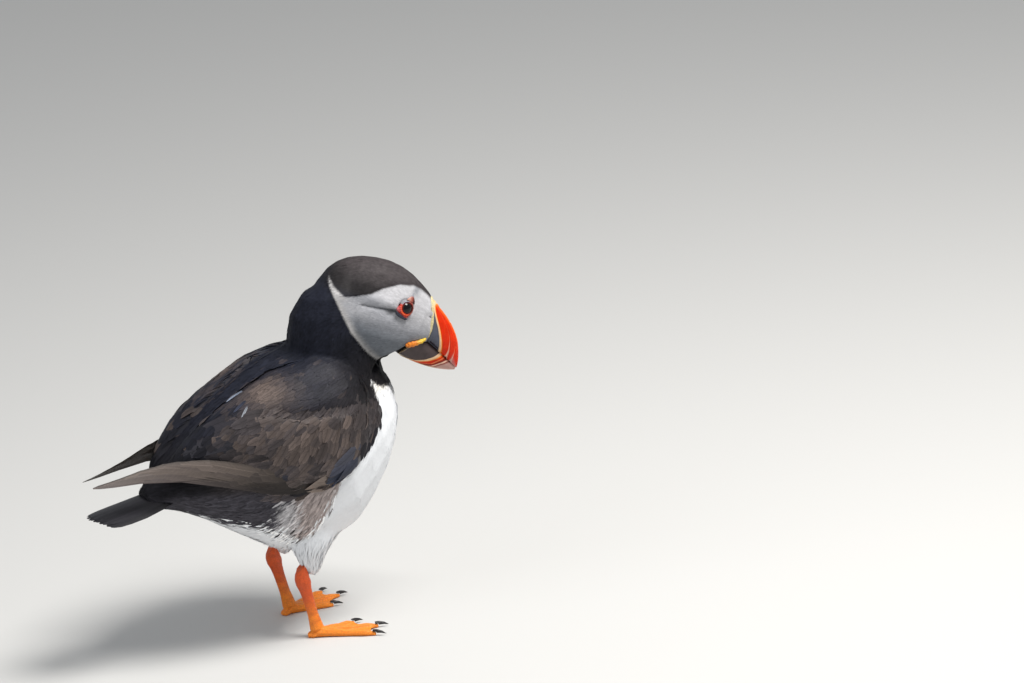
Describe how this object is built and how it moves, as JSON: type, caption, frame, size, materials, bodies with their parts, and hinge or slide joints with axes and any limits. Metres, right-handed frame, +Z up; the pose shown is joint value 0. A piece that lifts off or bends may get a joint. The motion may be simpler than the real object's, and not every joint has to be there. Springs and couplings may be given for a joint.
{
  "type": "atlantic puffin",
  "caption": "Standing puffin, life size: hunched black and white seabird, deep triangular banded bill turned to its right, folded wings, webbed feet flat on the floor.",
  "frame": {"origin": "on the floor, under the middle of the bird's bounding box", "axes": "+X the way the breast faces, along the bird's length; +Y to the bird's left; +Z up from the soles"},
  "size_m": [0.2083, 0.0934, 0.1978],
  "materials": {
    "black_plumage": "close black body feathers with a faint blue sheen",
    "wing_plumage": "worn brown-black wing feathers",
    "white_plumage": "dense white belly feathers",
    "face_plumage": "short pale grey face feathers, black on the crown",
    "bill_horn": "waxy horn: slate base, cream ridge, red-orange tip",
    "cere_skin": "pitted pale yellow skin",
    "gape_skin": "wrinkled orange-yellow skin",
    "eye": "wet, very dark brown",
    "orbit_skin": "bare red-orange skin",
    "eye_plate": "dark blue-grey horn",
    "leg_skin": "scaly orange skin",
    "claw": "dark horn"
  },
  "bodies": {
    "root": {"head": "face_plumage", "neck": "black_plumage", "trunk": "white_plumage", "tail": "black_plumage", "upper_mandible": "bill_horn", "lower_mandible": "bill_horn", "cere": "cere_skin", "left_gape_rosette": "gape_skin", "left_eye": "eye", "left_eye_ring": "orbit_skin", "left_upper_eye_plate": "eye_plate", "left_lower_eye_plate": "eye_plate", "left_wing_coverts": "wing_plumage", "left_secondaries": "wing_plumage", "left_primaries": "wing_plumage", "left_thigh": "white_plumage", "left_shank": "leg_skin", "left_foot": "leg_skin", "left_inner_claw": "claw", "left_middle_claw": "claw", "left_outer_claw": "claw", "right_gape_rosette": "gape_skin", "right_eye": "eye", "right_eye_ring": "orbit_skin", "right_upper_eye_plate": "eye_plate", "right_lower_eye_plate": "eye_plate", "right_wing_coverts": "wing_plumage", "right_secondaries": "wing_plumage", "right_primaries": "wing_plumage", "right_thigh": "white_plumage", "right_shank": "leg_skin", "right_foot": "leg_skin", "right_inner_claw": "claw", "right_middle_claw": "claw", "right_outer_claw": "claw"}
  },
  "joints": []
}
